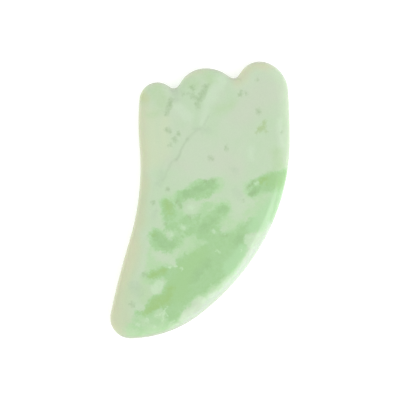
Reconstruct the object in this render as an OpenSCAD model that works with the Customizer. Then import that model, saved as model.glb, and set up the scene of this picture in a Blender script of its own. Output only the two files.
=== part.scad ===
// Gua sha scraper: one flat board of polished stone with a three-lobed head and a curved horn.
// The board lies on its back face. +Z points out of the front face and +Y runs from the horn
// tip to the head. The origin is under the middle of the board, on the face that it rests on.

/* [Board] */
// Scale of the whole outline: 1 gives a board 86 mm long and 56 mm wide
outline_scale = 1; // [0.9:0.05:1.1]
// Thickness of the board, whose edge is a full half round
thickness = 6; // [5:0.25:6.5]

/* [Head] */
// Rounding radius in the two notches between the lobes
notch_r = 2; // [1.5:0.1:2.5]

/* [Hidden] */

// Milky green of the polished stone
stone_colour = [0.76, 0.86, 0.72];
// Radius of the half round that runs all round the board
edge_r = thickness / 2;
// How far the flat core keeps inside the edge
core_inset = edge_r + 0.3;
// How far the rounded rim reaches in from the edge, so that it overlaps the core
band = core_inset + 0.7;
// Largest gap between a facet and its true arc
facet_sag = 0.012;
// Angle between the facets across the half round
section_step = 15;

// The outline is a chain of tangent arcs, counterclockwise from the right-hand side of the head.
// Each one is [radius, sweep], with a negative sweep where the outline is hollow. The two arcs
// without a radius are the ones that close the chain.
solved = 0;
arcs = [
    [214, 4],           // right-hand side of the head
    [9.9, 64],          // tallest lobe, outer shoulder
    [7, 87],            // tallest lobe, inner shoulder
    [notch_r, -105],    // first notch
    [11.3, 44],         // middle lobe, right half
    [9, 60],            // middle lobe, left half
    [notch_r, -105],    // second notch
    [5.5, 59],          // left lobe, inner shoulder
    [5.7, 67],          // left lobe, outer shoulder
    [84, 10],           // flank beside the head
    [solved, -22],      // hollow of the flank
    [270, 5],           // flank beside the horn
    [6.6, 40],          // horn tip, outer corner
    [6.3, 63],          // horn tip, lower corner
    [36, 36],           // lower edge behind the horn
    [solved, 21],       // long edge, lower part
    [65.5, 32]          // long edge, upper part
];
last = len(arcs) - 1;

// Sum of a list of vectors
function total(v, i = 0) = i == len(v) ? [0, 0] : v[i] + total(v, i + 1);
// Direction out of the board at a heading of travel along the outline
function outward(h) = [sin(h), -cos(h)];
// Heading at the start of each arc
headings = [for (i = 0, h = 90; i <= last; h = h + arcs[i][1], i = i + 1) h];
// Step from start to end of each arc, for a radius of 1
unit_steps = [
    for (i = [0 : last])
        sign(arcs[i][1]) * (outward(headings[i] + arcs[i][1]) - outward(headings[i]))
];
// The two solved radii make the steps of all arcs add up to nothing
gap = total([for (i = [0 : last]) arcs[i][0] * unit_steps[i]]);
free = [for (i = [0 : last]) if (arcs[i][0] == solved) i];
closing = cross(unit_steps[free[0]], unit_steps[free[1]]);
radii = [
    for (i = [0 : last])
        i == free[0] ? cross(unit_steps[free[1]], gap) / closing
        : i == free[1] ? cross(gap, unit_steps[free[0]]) / closing
        : arcs[i][0]
];
starts = [for (i = 0, p = [0, 0]; i <= last; p = p + radii[i] * unit_steps[i], i = i + 1) p];

// Stations along the outline: [point, outward direction], spaced so that no facet sags too much
stations = [
    for (i = [0 : last])
        let (
            side = sign(arcs[i][1]),
            centre = starts[i] - side * radii[i] * outward(headings[i]),
            count = ceil(abs(arcs[i][1]) / (2 * acos(1 - facet_sag / radii[i])))
        )
        for (k = [0 : count - 1])
            let (out = outward(headings[i] + k / count * arcs[i][1]))
            [centre + side * radii[i] * out, out]
];
xs = [for (s = stations) s[0].x];
ys = [for (s = stations) s[0].y];
middle = [min(xs) + max(xs), min(ys) + max(ys)] / 2;

// The outline moved in from the edge by an inset, centred on the origin
function outline(inset) = [for (s = stations) outline_scale * (s[0] - middle) - inset * s[1]];

// Section of the rim, from the inner wall's foot round the nose to its top: [inset, height]
rim_section = concat(
    [[band, 0]],
    [for (a = [-90 : section_step : 90]) [edge_r - edge_r * cos(a), edge_r + edge_r * sin(a)]],
    [[band, thickness]]
);

// Rounded rim: the section carried once round the outline
module rim() {
    n = len(stations);
    m = len(rim_section);
    points = [for (q = rim_section) for (p = outline(q[0])) [p.x, p.y, q[1]]];
    faces = [
        for (j = [0 : m - 1])
            for (i = [0 : n - 1])
                let (i2 = (i + 1) % n, j2 = (j + 1) % m)
                for (f = [
                    [j * n + i, j2 * n + i2, j * n + i2],
                    [j * n + i, j2 * n + i, j2 * n + i2]
                ]) f
    ];
    polyhedron(points, faces);
}

module stone_board() {
    color(stone_colour) {
        linear_extrude(height = thickness) polygon(outline(core_inset));
        rim();
    }
}

stone_board();
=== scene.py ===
"""The looks of a gua sha scraper: one board of polished, clouded green stone on a white table.

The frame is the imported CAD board, in metres: X across the board, Y from the horn tip to the head,
Z out of the front face. The stone's drawing is given in millimetres in the same axes.
"""

from typing import NamedTuple

import bmesh
import bpy
import numpy as np
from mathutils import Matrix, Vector
from mathutils.geometry import delaunay_2d_cdt

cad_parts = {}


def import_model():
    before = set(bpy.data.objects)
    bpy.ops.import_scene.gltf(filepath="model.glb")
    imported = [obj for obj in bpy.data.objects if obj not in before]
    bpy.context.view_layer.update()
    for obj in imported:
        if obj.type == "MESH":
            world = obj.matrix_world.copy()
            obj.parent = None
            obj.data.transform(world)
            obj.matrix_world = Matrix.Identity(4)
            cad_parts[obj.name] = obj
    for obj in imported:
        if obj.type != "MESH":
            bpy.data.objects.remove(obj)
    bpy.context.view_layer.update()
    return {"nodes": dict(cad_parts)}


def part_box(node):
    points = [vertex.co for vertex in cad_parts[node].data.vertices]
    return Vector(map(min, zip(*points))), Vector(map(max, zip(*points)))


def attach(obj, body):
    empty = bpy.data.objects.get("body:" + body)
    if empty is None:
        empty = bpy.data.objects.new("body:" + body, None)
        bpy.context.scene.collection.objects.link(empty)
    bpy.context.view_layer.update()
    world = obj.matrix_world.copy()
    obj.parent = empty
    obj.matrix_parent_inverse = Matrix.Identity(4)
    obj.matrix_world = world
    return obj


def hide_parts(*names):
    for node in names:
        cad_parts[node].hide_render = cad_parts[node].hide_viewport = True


MM = 0.001

# ---------------------------------------------------------------- the board's shape, in metres
RIM_SAMPLES = 560            # stations round the outline
RIM_STEPS = 26               # steps round the edge, from the back face to the front face
RIM_REACH = 3.7 * MM         # how far the rounding reaches in from the edge
RIM_WAVE = 0.12              # share by which hand grinding varies that reach
SMOOTHING = 0.35 * MM        # outline detail below this is smoothed away
FACE_STEP = 1.3 * MM         # spacing of the points inside the faces
FACE_DIP = 0.07 * MM         # how far the polished front face dips between its high places
CUT_LEVEL = 0.502            # share of the thickness at which the CAD board's outline is taken
ROW_RATIO = 0.866            # gap between the rows of a hexagonal grid, for a spacing of 1
CLEARANCE = 0.6              # how far grid points keep from the outline, as a share of their spacing
ONLY_INSIDE = 1              # the triangulation keeps to the inside of its border
NET_PRECISION = 1e-7         # points closer than this, in metres, count as one


# ---------------------------------------------------------------- the stone's colours, as seen
def srgb(red, green, blue):
    """A colour given as 0-255 display values, as the linear colour that a shader takes."""
    c = np.array([red, green, blue]) / 255
    linear = np.where(c <= 0.04045, c / 12.92, ((c + 0.055) / 1.055) ** 2.4)
    return (*linear, 1.0)


PALE = srgb(202, 219, 192)
PALE_GREEN = srgb(197, 219, 187)
PALE_PINK = srgb(206, 214, 194)
PALE_LIGHT = srgb(206, 225, 198)
PALE_YELLOW = srgb(208, 221, 189)
PALE_WARM = srgb(199, 213, 177)
# Partly the stone's pale green, partly painted light: the right edge, toward the soft box, drawn lighter.
EDGE_GREEN_AND_LIGHT = srgb(205, 222, 195)
BEIGE = srgb(214, 216, 184)
YELLOW = srgb(204, 212, 162)
SOFT_GREEN = srgb(188, 215, 170)
GREY_GREEN = srgb(186, 206, 179)
HALO = srgb(185, 219, 172)
BAND_GREEN = srgb(181, 220, 172)
CLOUD_LIGHT = srgb(178, 215, 165)
CLOUD = srgb(168, 208, 153)
CLOUD_DEEP = srgb(161, 200, 146)
CLOUD_WARM = srgb(168, 208, 147)
OLIVE = srgb(165, 202, 130)
ISLAND = srgb(199, 220, 189)
WHITE_SPOT = srgb(204, 229, 196)
WHITE_CLOUD = srgb(214, 232, 205)
# Painted highlight, partly the stone's whitish rim: the white drawn along the lower-right rim.
HIGHLIGHT_WHITE = srgb(214, 228, 215)
# Painted shade: the grey drawn on the rims round the head and under the horn.
PAINTED_END_SHADE = srgb(183, 191, 168)
FLECK = srgb(157, 186, 138)
OLIVE_FLECK = srgb(174, 199, 140)
VEIN = srgb(166, 188, 154)
CRACK = srgb(208, 233, 198)

# ---------------------------------------------------------------- the stone's drawing, in millimetres
# Each cloud, tint or fleck is a list of strokes (x1, y1, x2, y2, radius); the painted highlight and the
# painted light on the rims are drawn the same way.
PINK_TINTS = [(6.4, 12.6, 10.4, 9.4, 3.2), (21.0, 33.0, 14.0, 26.0, 4.4), (-10.0, 12.6, -4.0, 10.4, 1.6)]
FRESH_TINTS = [(-16.0, 25.0, -15.2, 13.0, 3.2), (-10.6, 24.4, -11.6, 14.0, 1.6)]
WARM_TINTS = [
    (-18.0, 5.0, -19.0, -7.0, 2.4), (-20.4, -14.0, -23.2, -28.0, 2.2), (-24.4, -30.0, -25.2, -38.6, 3.4),
]
FLANK_TINTS = [
    (-19.6, 27.0, -19.4, 6.0, 2.6), (-19.6, 4.0, -22.4, -12.0, 3.0), (-22.8, -14.0, -28.0, -34.0, 2.9),
    (-28.4, -35.0, -27.0, -39.6, 2.2), (17.0, 43.6, 22.0, 42.6, 2.6), (-4.0, 39.8, 0.0, 41.4, 2.8),
    (-16.0, 37.0, -13.0, 37.4, 1.6), (12.4, 37.6, 15.6, 42.0, 1.8), (-26.4, -41.4, -20.0, -43.6, 0.9),
]
# Partly the stone's pale green, partly painted light: the right edge, the side toward the soft box, drawn
# lighter.
RIGHT_EDGE_TINT_AND_LIGHT = [(23.2, 39.6, 25.8, 36.8, 1.0), (27.4, 36.0, 28.4, 26.0, 2.4), (28.4, 26.0, 28.0, 12.0, 2.2)]
YELLOW_TINTS = [(-17.4, 33.2, -16.8, 30.8, 1.4)]
SOFT_GREENS = [
    (-13.0, 32.8, -12.0, 30.6, 2.2), (-3.4, 35.6, -1.0, 35.4, 0.7), (2.4, 37.8, 3.8, 36.6, 1.3),
    (-15.4, 26.0, -11.6, 27.6, 0.8), (23.6, 14.6, 24.2, 10.8, 1.5), (-17.0, -24.6, -14.0, -21.0, 1.6),
    (10.0, 29.6, 6.0, 27.6, 1.0), (-18.0, -28.0, -16.0, -31.0, 2.0), (-14.4, -28.2, -13.4, -29.2, 0.8),
]
GREY_TINTS = [
    (-7.4, 33.0, -7.2, 31.0, 1.2), (5.4, 39.6, 7.2, 38.8, 0.5), (-20.2, -26.2, -19.2, -28.4, 1.5),
    (-1.6, 22.2, 2.8, 21.2, 0.5), (10.0, 9.7, 11.0, 8.8, 0.6), (10.8, 2.6, 12.4, 1.2, 0.9),
    (-13.6, -3.6, -14.2, -5.4, 0.4), (-11.8, 8.4, -12.6, 5.0, 0.8), (-17.4, -22.6, -16.6, -23.4, 0.5),
    (-23.0, -43.4, -14.0, -42.8, 1.2), (-14.0, -42.6, -8.0, -40.8, 0.8),
]
LIGHT_VEILS = [
    (7.0, 37.4, 3.0, 31.0, 1.5), (3.0, 31.0, 0.6, 23.6, 0.9), (-6.4, 28.2, -3.8, 25.8, 1.6),
    (25.4, 17.0, 24.6, 24.0, 1.0), (15.8, 15.8, 15.8, 13.2, 0.9),
]
HALOS = [
    (5.0, 4.6, -6.0, 0.4, 2.4), (-9.8, -1.0, -9.0, -8.0, 2.6), (-5.0, -5.6, 7.0, -2.6, 2.8),
    (-3.0, -9.4, 8.0, -8.6, 3.6), (-13.0, -11.4, -7.0, -13.6, 2.8), (-6.0, -15.4, 3.0, -13.6, 2.8),
    (26.0, 5.0, 16.4, 3.2, 3.0), (19.4, 0.2, 16.4, -4.4, 1.5), (15.0, -2.8, 13.0, -4.8, 0.9),
    (-16.0, -23.6, -11.0, -22.6, 2.0), (-19.4, -40.6, -9.0, -38.0, 3.7), (-9.0, -36.0, -15.6, -36.0, 2.8),
    (8.0, -24.4, 1.0, -29.6, 2.4), (11.6, -17.0, 8.4, -22.6, 2.4), (-14.6, -15.6, -15.0, -18.4, 1.6),
    (-14.6, -19.6, -11.4, -20.8, 1.8), (-8.6, -16.0, -7.4, -15.4, 1.4), (12.6, -8.0, 9.4, -5.6, 2.0),
]
BANDS = [
    (20.4, -2.6, 17.4, -5.8, 1.2), (25.4, 1.2, 21.2, -5.0, 3.3), (20.4, -5.0, 17.4, -8.6, 2.7),
    (13.0, -15.2, 8.8, -20.8, 1.8),
]
MID_CLOUDS = [
    (0.8, -4.4, -0.8, -6.6, 1.8), (-6.6, -4.6, -6.0, -9.8, 1.5), (-2.6, -8.2, -1.6, -8.6, 1.4),
    (8.0, -4.6, 7.4, -5.4, 0.9), (11.0, -14.6, 8.6, -21.4, 2.4), (6.0, -9.6, 9.6, -10.6, 1.6),
    (-0.4, -13.4, 0.6, -15.6, 1.6), (2.4, -1.6, 1.4, -3.0, 1.2), (-8.6, -9.6, -6.8, -10.2, 0.9),
    (-12.6, -26.0, -14.6, -25.4, 0.8), (-15.8, -36.4, -13.4, -37.6, 1.2), (-8.4, -37.6, -10.4, -39.4, 1.3),
    (-19.6, -36.8, -18.4, -40.6, 1.2),
]
CLOUDS = [
    (26.2, 6.1, 20.4, 5.0, 2.6), (18.8, 6.2, 15.4, 4.4, 0.6), (18.6, 4.0, 16.4, 2.4, 1.1),
    (16.2, -7.4, 12.4, -10.4, 1.6), (12.8, -12.0, 5.0, -13.4, 2.5), (9.4, -15.4, 2.6, -17.0, 3.2),
    (7.2, -18.4, -3.4, -20.6, 3.8), (4.0, -22.0, -6.4, -24.4, 3.7), (-0.6, -25.8, -7.4, -28.0, 3.6),
    (-5.6, -29.4, -8.6, -31.6, 3.4), (-7.4, -33.4, -8.6, -35.6, 2.1), (-9.0, -22.8, -10.6, -22.2, 1.6),
    (3.8, 4.6, 1.2, 3.6, 1.5), (1.6, 3.0, -1.6, 2.4, 2.1), (-2.0, 2.4, -5.4, 0.6, 1.8),
    (-4.7, 0.2, -5.4, -1.2, 1.1), (-1.2, 4.7, -0.5, 5.2, 0.4), (-9.9, -1.7, -9.2, -4.2, 1.8),
    (-10.0, -5.2, -10.2, -6.0, 0.9), (-0.8, -4.8, -1.0, -6.4, 0.8), (-6.8, -8.6, -6.0, -9.4, 0.6),
    (5.2, -9.0, 6.8, -10.4, 0.8), (7.2, -3.0, 6.2, -3.3, 1.7), (4.8, -5.7, 3.8, -5.9, 2.0),
    (3.0, -7.2, 0.6, -9.4, 2.5), (-3.4, -6.2, -5.0, -6.6, 1.5), (-8.0, -7.8, -9.4, -8.6, 1.2),
    (-1.4, -9.0, -3.4, -9.8, 1.2), (-7.6, -11.8, -5.2, -11.2, 0.3), (1.2, -10.8, 4.0, -11.6, 1.2),
    (-13.7, -10.7, -12.6, -10.8, 1.4), (-12.4, -12.6, -9.9, -13.4, 2.6), (-8.8, -13.2, -7.0, -12.9, 1.2),
    (-10.8, -21.6, -12.2, -22.6, 1.2), (-12.6, -22.8, -14.8, -23.0, 1.0), (-10.6, -30.6, -13.4, -31.4, 2.0),
    (-14.2, -32.8, -16.2, -34.2, 1.3), (-17.0, -34.6, -19.2, -34.8, 0.5),
]
DEEP_CLOUDS = [
    (3.0, 4.8, -4.6, 1.6, 1.1), (7.2, -2.8, 6.4, -3.2, 1.0), (4.6, -6.2, 4.2, -6.4, 1.0),
    (2.2, -8.0, 0.8, -9.0, 1.2), (-13.2, -11.4, -10.4, -14.0, 1.4), (17.4, 3.2, 16.2, 2.0, 0.8),
    (12.6, -11.2, 11.6, -13.4, 1.2), (-8.8, -13.8, -8.2, -13.4, 1.0), (2.0, -19.0, -2.0, -24.0, 1.6),
]
WARM_CLOUDS = [
    (0.0, -17.0, -4.4, -21.0, 2.4), (-5.0, -24.0, -7.0, -29.0, 2.6), (-8.4, -26.2, -9.2, -29.0, 1.8),
    (22.0, 7.0, 24.6, 5.0, 1.8),
]
OLIVE_CLOUDS = [
    (-10.0, -0.9, -9.8, -2.1, 1.1), (-9.7, -3.0, -9.4, -4.0, 0.7), (-11.0, -21.8, -15.2, -23.3, 1.0),
    (-11.0, -30.8, -13.4, -31.6, 1.9), (-14.4, -32.8, -16.6, -34.3, 1.1), (-9.0, -27.6, -9.6, -29.0, 1.0),
    (20.2, 6.2, 18.6, 5.8, 0.8), (-14.2, -10.4, -13.6, -11.0, 0.3),
]
ISLANDS = [
    (-3.3, -1.6, -2.4, -3.0, 2.0), (11.2, -2.2, 11.2, -4.8, 1.6), (8.0, -9.0, 7.2, -9.2, 0.6),
    (13.4, -0.2, 15.2, -0.4, 0.8), (-9.9, -10.0, -8.9, -11.6, 0.6), (-13.4, -17.0, -9.0, -18.4, 1.4),
    (-8.0, -17.0, -6.8, -15.6, 0.6), (15.4, -12.4, 16.0, -13.2, 1.5), (16.4, -11.6, 18.2, -10.6, 1.1),
    (-18.4, -32.8, -17.8, -33.4, 1.1),
]
WHITE_SPOTS = [
    (15.0, -12.1, 15.6, -13.4, 1.3), (16.7, -11.5, 18.0, -10.8, 0.8), (-5.4, -8.1, -4.9, -8.6, 0.5),
    (4.0, -9.4, 4.4, -9.9, 0.3), (-12.7, -26.2, -13.7, -27.4, 1.4), (-8.9, -10.1, -8.6, -10.7, 0.4),
    (-19.1, -38.1, -18.9, -38.4, 0.4), (-16.4, -36.9, -16.2, -37.2, 0.4), (-14.0, -38.8, -13.8, -39.1, 0.3),
    (17.7, 5.3, 17.2, 5.0, 0.3), (-3.0, -2.2, -2.4, -2.6, 0.6),
]
# Painted highlight along the lower-right rim, on the side toward the soft box; partly the stone's own
# whitish rim.
PAINTED_RIM_HIGHLIGHTS = [
    (22.4, -8.0, 19.4, -13.4, 0.5), (18.6, -14.4, 13.6, -21.6, 0.7), (13.6, -21.6, 6.2, -29.8, 0.8),
    (6.0, -30.0, -4.0, -37.6, 0.6), (-4.0, -37.6, -10.0, -40.8, 0.0),
]
RIM_CLOUDS = [
    (0.9, -31.0, 0.0, -30.6, 1.2), (5.0, -29.2, 3.4, -30.0, 0.9), (-2.0, -34.2, -3.0, -34.9, 0.5),
    (-4.2, -35.8, -5.6, -37.0, 0.9), (9.2, -26.0, 6.4, -28.2, 0.7), (-8.4, -39.4, -6.6, -38.6, 0.6),
]
FLECKS = [
    (-9.9, 28.0, -10.4, 26.2, 0.4), (-8.9, 30.6, -9.7, 28.2, 0.7), (-2.5, 34.6, -2.1, 34.3, 0.6),
    (1.6, 34.6, 0.3, 31.2, 0.75), (-2.3, 31.8, 0.0, 30.8, 0.5), (-3.6, 32.8, -2.0, 32.6, 0.15),
    (2.0, 34.2, 2.6, 35.4, 0.2), (-0.9, 29.6, -0.6, 28.8, 0.7), (-10.1, 21.6, -9.6, 21.3, 0.7),
    (-7.8, 18.9, -7.6, 18.3, 0.5), (-6.7, 20.4, -6.4, 20.1, 0.4), (-9.2, 17.0, -9.0, 16.8, 0.3),
    (12.5, 33.1, 12.3, 32.4, 0.45), (14.2, 33.0, 14.3, 32.7, 0.25), (17.6, 36.9, 17.7, 36.8, 0.15),
    (12.1, 37.2, 12.3, 37.1, 0.15), (17.9, 27.8, 18.1, 26.8, 0.4), (8.0, 16.4, 8.1, 15.7, 0.35),
    (3.1, 12.9, 3.7, 12.7, 0.45), (-10.2, 3.4, -9.9, 3.2, 0.4), (-14.6, -0.6, -14.2, -1.0, 0.4),
    (-17.2, -22.8, -16.6, -23.3, 0.4), (-21.0, -31.9, -20.6, -32.2, 0.6), (16.6, 5.8, 14.6, 3.6, 0.3),
    (16.6, 2.6, 15.6, 1.8, 0.35), (13.1, 0.0, 13.2, -0.2, 0.2), (-6.9, -0.4, -7.1, -0.8, 0.45),
    (25.2, 20.9, 25.3, 20.7, 0.2), (-4.9, 32.8, -5.1, 32.6, 0.3), (1.5, 5.8, 2.2, 5.6, 0.3),
    (3.6, 6.2, 4.4, 5.9, 0.35), (-6.4, -1.6, -6.0, -2.3, 0.35), (5.6, -10.9, 9.2, -11.1, 0.0),
    (-10.9, -7.2, -10.5, -7.5, 0.2), (-3.6, -5.0, -3.0, -5.4, 0.25),
]
OLIVE_FLECKS = [
    (19.9, 24.2, 19.4, 22.6, 0.35), (19.4, 22.4, 18.5, 21.8, 0.9), (17.7, 21.0, 17.4, 20.7, 0.3),
    (20.2, 21.4, 20.3, 20.8, 0.25),
]
VEINS = [(-3.4, 18.8, -5.2, 16.4, 0.1), (-5.2, 16.4, -7.4, 12.8, 0.2)]
FAINT_VEINS = [
    (2.7, 25.4, 0.8, 22.7, 0.2), (0.8, 22.7, -1.5, 21.5, 0.1), (-1.5, 21.5, -3.6, 18.6, 0.2),
    (-7.4, 12.8, -9.7, 9.5, 0.2), (-9.7, 9.5, -11.4, 6.6, 0.1),
]
CRACKS = [
    (-10.1, -33.0, -12.3, -35.4, 0.12), (-10.8, -33.8, -11.6, -37.2, 0.15),
    (-11.0, -34.6, -9.9, -35.6, 0.1), (5.2, -15.6, 5.7, -16.2, 0.15), (5.8, -16.2, 6.2, -15.8, 0.12),
    (12.7, -15.3, 12.9, -15.6, 0.2), (-5.8, -20.6, -5.3, -21.5, 0.15), (-9.4, -20.6, -9.1, -20.9, 0.2),
    (-7.5, -20.2, -7.1, -20.5, 0.15), (-12.4, -35.2, -13.6, -35.6, 0.1), (-9.0, -38.0, -8.0, -37.2, 0.15),
]


class Layer(NamedTuple):
    """One layer of the stone's drawing. Lengths are in millimetres."""

    drawing: list                # its strokes
    colour: tuple
    warp: str                    # how its outline wanders: "drifting", "ragged" or "fine"
    blend: float                 # how widely its strokes run together
    fade: tuple                  # distances from its strokes where it starts and where it is full
    strength: float
    fray: float = 0.0            # how far cottony fibres shift its outline
    patchy: float = 0.0          # share of its strength that comes and goes in patches
    dent: float = 0.0            # how much it dulls and dents the polish


LAYERS = [
    Layer(PINK_TINTS, PALE_PINK, "drifting", 2.0, (2.5, -2.5), 0.45),
    Layer(FRESH_TINTS, PALE_YELLOW, "drifting", 2.0, (2.2, -2.0), 0.8),
    Layer(WARM_TINTS, PALE_WARM, "drifting", 2.0, (2.2, -2.0), 0.75),
    Layer(FLANK_TINTS, BEIGE, "drifting", 1.5, (2.2, -2.2), 0.9),
    # Right edge: partly the stone's tint, partly painted light.
    Layer(RIGHT_EDGE_TINT_AND_LIGHT, EDGE_GREEN_AND_LIGHT, "drifting", 1.5, (1.8, -2.2), 0.8),
    Layer(YELLOW_TINTS, YELLOW, "drifting", 1.0, (1.6, -1.4), 0.7),
    Layer(SOFT_GREENS, SOFT_GREEN, "ragged", 1.5, (1.8, -1.6), 0.7, patchy=0.3),
    Layer(GREY_TINTS, GREY_GREEN, "ragged", 1.0, (1.2, -1.2), 0.6, fray=1.5, patchy=0.4),
    Layer(LIGHT_VEILS, PALE_LIGHT, "ragged", 1.0, (1.2, -1.0), 0.75, fray=1.2),
    Layer(HALOS, HALO, "ragged", 2.0, (1.0, -0.9), 0.9, fray=4.0, patchy=0.35),
    Layer(MID_CLOUDS, CLOUD_LIGHT, "ragged", 1.0, (0.8, -0.6), 0.85, fray=4.0, patchy=0.4),
    Layer(CLOUDS, CLOUD_LIGHT, "ragged", 1.0, (1.0, 0.1), 0.9, fray=2.0),
    Layer(CLOUDS, CLOUD, "ragged", 1.0, (0.4, -0.5), 0.95, fray=4.0, patchy=0.35),
    Layer(DEEP_CLOUDS, CLOUD_DEEP, "ragged", 1.0, (0.7, -0.7), 0.85, fray=2.4, patchy=0.35),
    Layer(BANDS, BAND_GREEN, "ragged", 1.5, (1.2, -1.2), 0.85, fray=2.0),
    Layer(WARM_CLOUDS, CLOUD_WARM, "ragged", 1.5, (1.8, -1.4), 0.7, fray=1.5),
    Layer(OLIVE_CLOUDS, OLIVE, "ragged", 1.0, (1.0, -1.0), 0.85, fray=2.4, patchy=0.3),
    Layer(ISLANDS, ISLAND, "ragged", 0.8, (0.7, -0.6), 0.8, fray=-4.0, patchy=0.4),
    Layer(WHITE_SPOTS, WHITE_SPOT, "fine", 0.3, (0.6, -0.4), 0.8, fray=1.5, patchy=0.3),
    Layer(RIM_CLOUDS, WHITE_CLOUD, "ragged", 0.8, (0.9, -0.9), 0.75, fray=2.4, patchy=0.3),
    # Painted highlight along the lower-right rim.
    Layer(PAINTED_RIM_HIGHLIGHTS, HIGHLIGHT_WHITE, "drifting", 1.0, (1.6, -1.0), 0.65),
    Layer(FLECKS, FLECK, "fine", 0.3, (0.7, -0.45), 0.6, patchy=0.5, dent=0.5),
    Layer(OLIVE_FLECKS, OLIVE_FLECK, "fine", 0.3, (0.6, -0.5), 0.75, patchy=0.3),
    Layer(FAINT_VEINS, VEIN, "drifting", 0.3, (0.7, -0.5), 0.25),
    Layer(VEINS, VEIN, "drifting", 0.3, (0.8, -0.6), 0.5, dent=0.2),
    Layer(CRACKS, CRACK, "fine", 0.2, (0.3, -0.15), 0.7, patchy=0.3, dent=0.4),
]


# ---------------------------------------------------------------- geometry
def cad_outline(node, level):
    """The CAD node's outline at a height: its points in order round the board, in metres."""
    cut = bmesh.new()
    cut.from_mesh(node.data)
    bmesh.ops.remove_doubles(cut, verts=cut.verts, dist=0.001 * MM)
    everything = cut.verts[:] + cut.edges[:] + cut.faces[:]
    bmesh.ops.bisect_plane(
        cut, geom=everything, plane_co=(0, 0, level), plane_no=(0, 0, 1), clear_inner=True, clear_outer=True
    )
    first = max(cut.verts, key=lambda v: v.co.x)
    loop, seen, here = [], set(), first
    while here is not None:
        loop.append((here.co.x, here.co.y))
        seen.add(here)
        ahead = [e.other_vert(here) for e in here.link_edges]
        ahead = [v for v in ahead if v not in seen]
        here = max(ahead, key=lambda v: v.co.y) if ahead else None
    cut.free()
    return np.array(loop)


def even_smooth(loop, count):
    """The closed outline with evenly spaced points and its facet corners rounded away."""
    closed = np.vstack([loop, loop[:1]])
    lengths = np.hypot(*np.diff(closed, axis=0).T)
    along = np.concatenate([[0], np.cumsum(lengths)])
    want = np.linspace(0, along[-1], count, endpoint=False)
    even = np.interp(want, along, closed[:, 0]) + 1j * np.interp(want, along, closed[:, 1])
    waves = np.fft.fftfreq(count, d=along[-1] / count)
    soft = np.fft.ifft(np.fft.fft(even) * np.exp(-2 * (np.pi * waves * SMOOTHING) ** 2))
    return np.column_stack([soft.real, soft.imag])


def outward_normals(outline):
    """Unit normals that point out of a counterclockwise outline."""
    ahead = np.roll(outline, -1, axis=0) - np.roll(outline, 1, axis=0)
    normal = np.column_stack([ahead[:, 1], -ahead[:, 0]])
    return normal / np.linalg.norm(normal, axis=1)[:, None]


def face_dip(x, y):
    """How far the hand-polished front face lies below its highest places, in metres."""
    hills = np.sin(x / (11 * MM) + 0.8) * np.sin(y / (17 * MM) - 0.5)
    ripple = 0.5 * np.sin((x + 2 * y) / (23 * MM))
    return FACE_DIP * (1.5 - (hills + ripple)) / 3


def inside_points(loop, step):
    """Points of a hexagonal grid that lie inside a closed loop and well clear of it."""
    low, high = loop.min(axis=0), loop.max(axis=0)
    rows = np.arange(low[1], high[1], step * ROW_RATIO)
    grid = [
        (x, y)
        for i, y in enumerate(rows)
        for x in np.arange(low[0] + (i % 2) * step / 2, high[0], step)
    ]
    grid = np.array(grid)
    ends = np.roll(loop, -1, axis=0)
    inside = np.zeros(len(grid), bool)
    for (x1, y1), (x2, y2) in zip(loop, ends):
        crosses = (y1 > grid[:, 1]) != (y2 > grid[:, 1])
        if crosses.any():
            reach = x1 + (grid[:, 1] - y1) * (x2 - x1) / (y2 - y1 + 1e-15)
            inside ^= crosses & (grid[:, 0] < reach)
    grid = grid[inside]
    apart = np.linalg.norm(grid[:, None, :] - loop[None, ::2, :], axis=2).min(axis=1)
    return grid[apart > CLEARANCE * step]


def board_outline(node, low, high):
    """The CAD board's outline, smoothed and then fitted to the CAD board's box again."""
    level = low.z + CUT_LEVEL * (high.z - low.z)
    outline = even_smooth(cad_outline(node, level), RIM_SAMPLES)
    first, last = outline.min(axis=0), outline.max(axis=0)
    wanted = np.array((high - low).xy)
    return (outline - (last + first) / 2) * (wanted / (last - first))


def rim_rings(outline, foot, thickness):
    """Rings of points round the rounded edge, from the back face up to the front face."""
    normal = outward_normals(outline)
    turn = np.linspace(0, 2 * np.pi, RIM_SAMPLES, endpoint=False)
    wave = 0.6 * np.sin(3 * turn + 1) + 0.4 * np.sin(7 * turn)
    reach = RIM_REACH * (1 + RIM_WAVE * wave)
    rings = []
    for angle in np.linspace(-np.pi / 2, np.pi / 2, RIM_STEPS + 1):
        inset = reach * (1 - np.cos(angle))
        ring = outline - normal * inset[:, None]
        height = foot + thickness / 2 * (1 + np.sin(angle)) * np.ones(RIM_SAMPLES)
        height -= face_dip(ring[:, 0], ring[:, 1]) * max(0, np.sin(angle)) ** 2
        rings.append(np.column_stack([ring, height]))
    return rings


def rim_quads():
    """The faces between the rings, as indices into the rings' points."""
    quads = []
    for below in range(0, RIM_STEPS * RIM_SAMPLES, RIM_SAMPLES):
        above = below + RIM_SAMPLES
        for i in range(RIM_SAMPLES):
            k = (i + 1) % RIM_SAMPLES
            quads.append((below + i, below + k, above + k, above + i))
    return quads


def flat_net(border):
    """Points inside a border, and the triangles that fill it.

    A triangle's numbers count the points of the border first, and then the points inside.
    """
    filling = inside_points(border, FACE_STEP)
    flat = [Vector(p) for p in np.vstack([border, filling])]
    sides = [(i, (i + 1) % len(border)) for i in range(len(border))]
    net = delaunay_2d_cdt(flat, sides, [], ONLY_INSIDE, NET_PRECISION)
    source = [origin[0] for origin in net[3]]
    triangles = [tuple(source[v] for v in face) for face in net[2]]
    return filling, triangles


def face_triangles(triangles, ring, filling):
    """The net's triangles, renumbered for a face whose ring and filling start at these points."""
    return [
        tuple(ring + v if v < RIM_SAMPLES else filling + v - RIM_SAMPLES for v in triangle)
        for triangle in triangles
    ]


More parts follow.
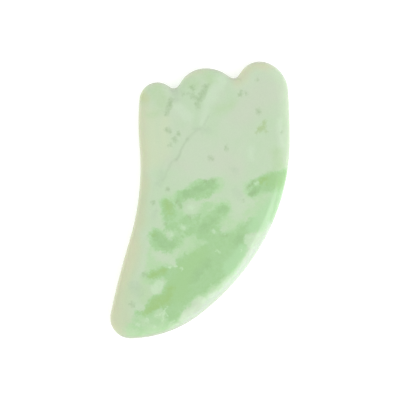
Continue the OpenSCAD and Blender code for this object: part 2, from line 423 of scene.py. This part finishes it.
def smooth_mesh(name, points, faces):
    """A closed mesh with smooth shading, whose faces all point outwards."""
    mesh = bpy.data.meshes.new(name)
    mesh.from_pydata(points.tolist(), [], faces)
    mesh.validate()
    shape = bmesh.new()
    shape.from_mesh(mesh)
    bmesh.ops.recalc_face_normals(shape, faces=shape.faces)
    shape.to_mesh(mesh)
    shape.free()
    mesh.polygons.foreach_set("use_smooth", [True] * len(mesh.polygons))
    mesh.update()
    return mesh


def board_mesh(node):
    """The polished board: rings of quads round the edge, and a net of triangles over each flat face."""
    low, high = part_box("stone_board")
    rings = rim_rings(board_outline(node, low, high), low.z, high.z - low.z)
    filling, triangles = flat_net(rings[-1][:, :2])
    x, y = filling.T
    front = np.column_stack([x, y, high.z - face_dip(x, y)])
    back = np.column_stack([x, y, np.full(len(filling), low.z)])

    # The points are numbered ring by ring, then over the front face, then over the back face
    front_ring = RIM_STEPS * RIM_SAMPLES
    front_filling = front_ring + RIM_SAMPLES
    back_filling = front_filling + len(filling)
    turned = [triangle[::-1] for triangle in triangles]
    faces = rim_quads()
    faces += face_triangles(triangles, front_ring, front_filling)
    faces += face_triangles(turned, 0, back_filling)
    return smooth_mesh("polished_stone", np.vstack([*rings, front, back]), faces)


# ---------------------------------------------------------------- the stone's material
TRACE = 1e-7                 # share of the distance so far that a place takes in
FAR_AWAY = 100.0             # distance in millimetres before there is any stroke
LEAN = (0.45, -0.35, 0.0)    # sideways shift of the drawing for each millimetre of depth

# How the outline of a layer wanders: noise scale, reach in millimetres, noise detail and roughness
WARPS = {
    "drifting": (0.12, 5.0, 4.0, 0.5),
    "ragged": (0.42, 3.6, 6.0, 0.66),
    "fine": (1.3, 2.3, 4.0, 0.6),
}

# The stone's noises: scale, detail and roughness
COTTON = (1.0, 6.0, 0.72)    # fibres that fray the outlines
PATCHES = (0.75, 6.0, 0.68)  # patches in which a layer comes and goes
GROUND = (0.09, 4.0, 0.55)   # slow changes of the pale ground
GRAIN = (2.2, 6.0, 0.7)      # felt of crystals
POLISH = (0.22, 3.0, 0.5)    # slow changes of the polish
UNEVEN = (0.5, 2.0, 0.5)     # slight waves of the polished surface

PATCH_EDGES = (0.40, 0.60)   # noise values at which a patch starts and is full
GROUND_EDGES = (0.40, 0.62)  # the same for the pale ground
# Painted shade on the rims at the ends of the board: where it starts and how strong it is.
END_SHADE_EDGES = (0.5, 0.9)       # how squarely the rim faces along the board where the painted shade at the ends starts and is full
END_SHADE_STRENGTH = 0.75
GRAIN_CONTRAST = 0.16        # share by which the grain changes the colour
ROUGHNESS = 0.12             # lowest roughness of the polish
ROUGHNESS_VARIES = 0.10
ROUGHNESS_DENTED = 0.3       # roughness that a full dent adds
BUMP = 0.12 * MM             # height that the three shares below are shares of
UNEVEN_SHARE = 0.25
GRAIN_SHARE = 0.04
DENT_SHARE = 0.12


class Graph:
    """Short calls that add linked shader nodes to one node tree."""

    def __init__(self, tree):
        self.tree = tree

    def add(self, kind, inputs=(), **settings):
        node = self.tree.nodes.new(kind)
        for name, value in settings.items():
            setattr(node, name, value)
        for socket, value in dict(inputs).items():
            if isinstance(value, bpy.types.NodeSocket):
                self.tree.links.new(value, node.inputs[socket])
            else:
                node.inputs[socket].default_value = value
        return node

    def math(self, operation, a, b=0.0, c=0.0, clamp=False):
        node = self.add("ShaderNodeMath", {0: a, 1: b, 2: c}, operation=operation, use_clamp=clamp)
        return node.outputs[0]

    def vector(self, operation, a, b=(0, 0, 0), output="Vector"):
        return self.add("ShaderNodeVectorMath", {0: a, 1: b}, operation=operation).outputs[output]

    def scaled(self, vector, scale):
        inputs = {0: vector, "Scale": scale}
        return self.add("ShaderNodeVectorMath", inputs, operation="SCALE").outputs[0]

    def noise(self, place, scale, detail=3.0, rough=0.5, output="Factor"):
        inputs = {"Vector": place, "Scale": scale, "Detail": detail, "Roughness": rough}
        node = self.add("ShaderNodeTexNoise", inputs)
        return node.outputs[0 if output == "Factor" else 1]

    def ramp(self, value, start, end):
        inputs = {"Value": value, "From Min": start, "From Max": end}
        return self.add("ShaderNodeMapRange", inputs, interpolation_type="SMOOTHSTEP").outputs[0]

    def mix(self, mask, below, above):
        node = self.add("ShaderNodeMix", data_type="RGBA")
        sockets = [s for s in node.inputs if s.type == "RGBA"]
        for socket, value in ((node.inputs[0], mask), (sockets[0], below), (sockets[1], above)):
            if isinstance(value, bpy.types.NodeSocket):
                self.tree.links.new(value, socket)
            else:
                socket.default_value = value
        return next(s for s in node.outputs if s.type == "RGBA")


def stroke_group():
    """A node group: distance to the nearest of the strokes so far and one more, less than nothing inside.

    The place takes in a trace of the distance so far. That makes the renderer work out the strokes one
    after another, and not hold them all at once, which is more than it has room for.
    """
    tree = bpy.data.node_groups.new("stroke", "ShaderNodeTree")
    sockets = {"Place": "Vector", "So Far": "Float", "From": "Vector", "Run": "Vector", "Per": "Float",
               "Radius": "Float", "Blend": "Float"}
    for name, kind in sockets.items():
        tree.interface.new_socket(name, in_out="INPUT", socket_type="NodeSocket" + kind)
    tree.interface.new_socket("Distance", in_out="OUTPUT", socket_type="NodeSocketFloat")
    g = Graph(tree)
    given = g.add("NodeGroupInput").outputs
    trace = {0: given["So Far"], 1: (TRACE, TRACE, TRACE), 2: given["Place"]}
    place = g.add("ShaderNodeVectorMath", trace, operation="MULTIPLY_ADD").outputs[0]
    offset = g.vector("SUBTRACT", place, given["From"])
    along = g.vector("DOT_PRODUCT", offset, given["Run"], "Value")
    share = g.math("MULTIPLY", along, given["Per"], clamp=True)
    aside = g.vector("SUBTRACT", offset, g.scaled(given["Run"], share))
    distance = g.vector("LENGTH", aside, output="Value")
    distance = g.math("SUBTRACT", distance, given["Radius"])
    joined = g.math("SMOOTH_MIN", given["So Far"], distance, given["Blend"])
    g.add("NodeGroupOutput", {"Distance": joined})
    return tree


def strokes(g, group, place, drawing, blend):
    """Distance from place to the nearest stroke of a drawing, in millimetres, with blended joints."""
    so_far = FAR_AWAY
    for x1, y1, x2, y2, radius in drawing:
        run = Vector((x2 - x1, y2 - y1, 0))
        inputs = {"Place": place, "So Far": so_far, "From": (x1, y1, 0), "Run": run,
                  "Per": 1 / run.length_squared, "Radius": radius, "Blend": blend}
        so_far = g.add("ShaderNodeGroup", inputs, node_tree=group).outputs[0]
    return so_far


def warped_places(g, place, top):
    """Places in the stone's drawing, one for each way of wandering.

    The drawing is laid out on the front face, at the height top, and leans as it goes down.
    """
    depth = g.math("SUBTRACT", top / MM, g.add("ShaderNodeSeparateXYZ", {0: place}).outputs["Z"])
    leaned = g.vector("ADD", place, g.scaled(LEAN, depth))
    places = {}
    for name, (scale, reach, detail, rough) in WARPS.items():
        shift = g.vector("SUBTRACT", g.noise(place, scale, detail, rough, "Color"), (0.5, 0.5, 0.5))
        moved = g.vector("ADD", leaned, g.vector("MULTIPLY", shift, (reach, reach, 0)))
        places[name] = g.vector("MULTIPLY", moved, (1, 1, 0))
    return places


def drawn_stone(g, place, places):
    """The pale ground with its drawing, layer by layer, painted highlight and painted light on the rims
    included: the colour, and how dented the polish is.
    """
    group = stroke_group()
    cotton = g.math("SUBTRACT", g.noise(place, *COTTON), 0.5)
    patches = g.ramp(g.noise(place, *PATCHES), *PATCH_EDGES)
    colour = g.mix(g.ramp(g.noise(place, *GROUND), *GROUND_EDGES), PALE_GREEN, PALE)
    dents = 0.0
    for layer in LAYERS:
        distance = strokes(g, group, places[layer.warp], layer.drawing, layer.blend)
        distance = g.math("MULTIPLY_ADD", cotton, layer.fray, distance)
        mask = g.math("MULTIPLY", g.ramp(distance, *layer.fade), layer.strength)
        if layer.patchy:
            mask = g.math("MULTIPLY", mask, g.math("MULTIPLY_ADD", patches, -layer.patchy, 1.0))
        if layer.dent:
            dents = g.math("MULTIPLY_ADD", mask, layer.dent, dents)
        colour = g.mix(mask, colour, layer.colour)
    return colour, dents


def paint_end_shade(g, colour):
    """The colour with painted shade on the rims at the ends of the board, round the head and under the
    horn: where they face along the board, they are made greyer.
    """
    facing = g.add("ShaderNodeSeparateXYZ", {0: g.add("ShaderNodeTexCoord").outputs["Normal"]}).outputs["Y"]
    ends = g.ramp(g.math("ABSOLUTE", facing), *END_SHADE_EDGES)
    return g.mix(g.math("MULTIPLY", ends, END_SHADE_STRENGTH), colour, PAINTED_END_SHADE)


def polish(g, place, grain, dents):
    """Roughness and bumped normal of the surface, duller and lower at the flecks and cracks."""
    rough = g.math("MULTIPLY_ADD", g.noise(place, *POLISH), ROUGHNESS_VARIES, ROUGHNESS)
    rough = g.math("MULTIPLY_ADD", dents, ROUGHNESS_DENTED, rough)
    waves = g.noise(place, *UNEVEN)
    height = g.math("MULTIPLY_ADD", waves, UNEVEN_SHARE, g.math("MULTIPLY", grain, GRAIN_SHARE))
    height = g.math("MULTIPLY_ADD", dents, -DENT_SHARE, height)
    bump = g.add("ShaderNodeBump", {"Height": height, "Distance": BUMP, "Strength": 1.0}).outputs[0]
    return rough, bump


def jade(top):
    """Polished serpentine jade, for a board whose front face is at the height top, in metres."""
    material = bpy.data.materials.new("polished_jade")
    material.use_nodes = True
    material.node_tree.nodes.clear()
    g = Graph(material.node_tree)
    place = g.scaled(g.add("ShaderNodeTexCoord").outputs["Object"], 1 / MM)
    colour, dents = drawn_stone(g, place, warped_places(g, place, top))
    # Painted shade: the rims at the ends of the board drawn greyer.
    colour = paint_end_shade(g, colour)
    grain = g.noise(place, *GRAIN)
    contrast = g.math("MULTIPLY_ADD", g.math("SUBTRACT", grain, 0.5), GRAIN_CONTRAST, 1.0)
    felt = g.scaled(colour, contrast)
    rough, bump = polish(g, place, grain, dents)
    stone = g.add("ShaderNodeBsdfPrincipled", {
        "Base Color": felt, "Roughness": rough, "Normal": bump, "IOR": 1.6,
        "Subsurface Weight": 0.6, "Subsurface Radius": (1.0, 1.3, 0.9), "Subsurface Scale": 1.8 * MM,
    })
    g.add("ShaderNodeOutputMaterial", {"Surface": stone.outputs[0]})
    return material


# ---------------------------------------------------------------- the studio
FLOOR_SIDE = 6.0             # side of the square table top, in metres
TABLE_GAP = 0.02 * MM        # how far the table lies below the board
TABLE_WHITE = (0.93, 0.93, 0.93, 1.0)
FIELD = 124 * MM             # width of the view
LENS = 100.0                 # focal length and sensor width, in millimetres
SENSOR = 36.0
LAMP_PLACE = (0.314, -0.220, 0.321)
LAMP_SIZE = (0.26, 0.50)     # width and height of the soft box, in metres
LAMP_POWER = 0.65            # in watts
ROOM_LIGHT = 0.875           # strength of the white surroundings
TABLE_GLOW = 0.30            # light that the table adds from below, so that it shows no shadow


def table_top():
    """A large white table top just under the board."""
    mesh = bpy.data.meshes.new("table_top")
    half = FLOOR_SIDE / 2
    corners = [(-half, -half, 0), (half, -half, 0), (half, half, 0), (-half, half, 0)]
    mesh.from_pydata(corners, [], [(0, 1, 2, 3)])
    table = bpy.data.objects.new("table_top", mesh)
    table.location.z = -TABLE_GAP
    material = bpy.data.materials.new("white_table")
    material.use_nodes = True
    shader = material.node_tree.nodes["Principled BSDF"]
    shader.inputs["Base Color"].default_value = TABLE_WHITE
    shader.inputs["Roughness"].default_value = 0.7
    shader.inputs["Specular IOR Level"].default_value = 0.2
    shader.inputs["Emission Color"].default_value = (1, 1, 1, 1)
    shader.inputs["Emission Strength"].default_value = TABLE_GLOW
    mesh.materials.append(material)
    bpy.context.scene.collection.objects.link(table)
    return table


def soft_box():
    """A long rectangular lamp, low on the right, that faces the middle of the table."""
    lamp = bpy.data.lights.new("right_soft_box", "AREA")
    lamp.shape = "RECTANGLE"
    lamp.size, lamp.size_y = LAMP_SIZE
    lamp.energy = LAMP_POWER
    holder = bpy.data.objects.new("right_soft_box", lamp)
    holder.location = LAMP_PLACE
    holder.rotation_euler = (-Vector(LAMP_PLACE)).to_track_quat("-Z", "Y").to_euler()
    bpy.context.scene.collection.objects.link(holder)


def camera(centre):
    """A long lens straight above the board, with the head at the top of the picture."""
    data = bpy.data.cameras.new("camera")
    data.lens = LENS
    data.sensor_width = SENSOR
    holder = bpy.data.objects.new("camera", data)
    holder.location = (centre.x, centre.y, centre.z + FIELD * LENS / SENSOR)
    bpy.context.scene.collection.objects.link(holder)
    bpy.context.scene.camera = holder


def studio():
    """White surroundings and the soft box, shown in plain display colours."""
    world = bpy.data.worlds.new("white_room")
    world.use_nodes = True
    background = world.node_tree.nodes["Background"]
    background.inputs["Color"].default_value = (1, 1, 1, 1)
    background.inputs["Strength"].default_value = ROOM_LIGHT
    bpy.context.scene.world = world
    soft_box()
    bpy.context.scene.view_settings.view_transform = "Standard"


def main():
    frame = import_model()
    low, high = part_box("stone_board")
    stone = bpy.data.objects.new("polished_stone", board_mesh(frame["nodes"]["stone_board"]))
    bpy.context.scene.collection.objects.link(stone)
    stone.data.materials.append(jade(high.z))
    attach(stone, "root")
    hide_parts("stone_board")
    table_top()
    studio()
    camera((low + high) / 2)


main()
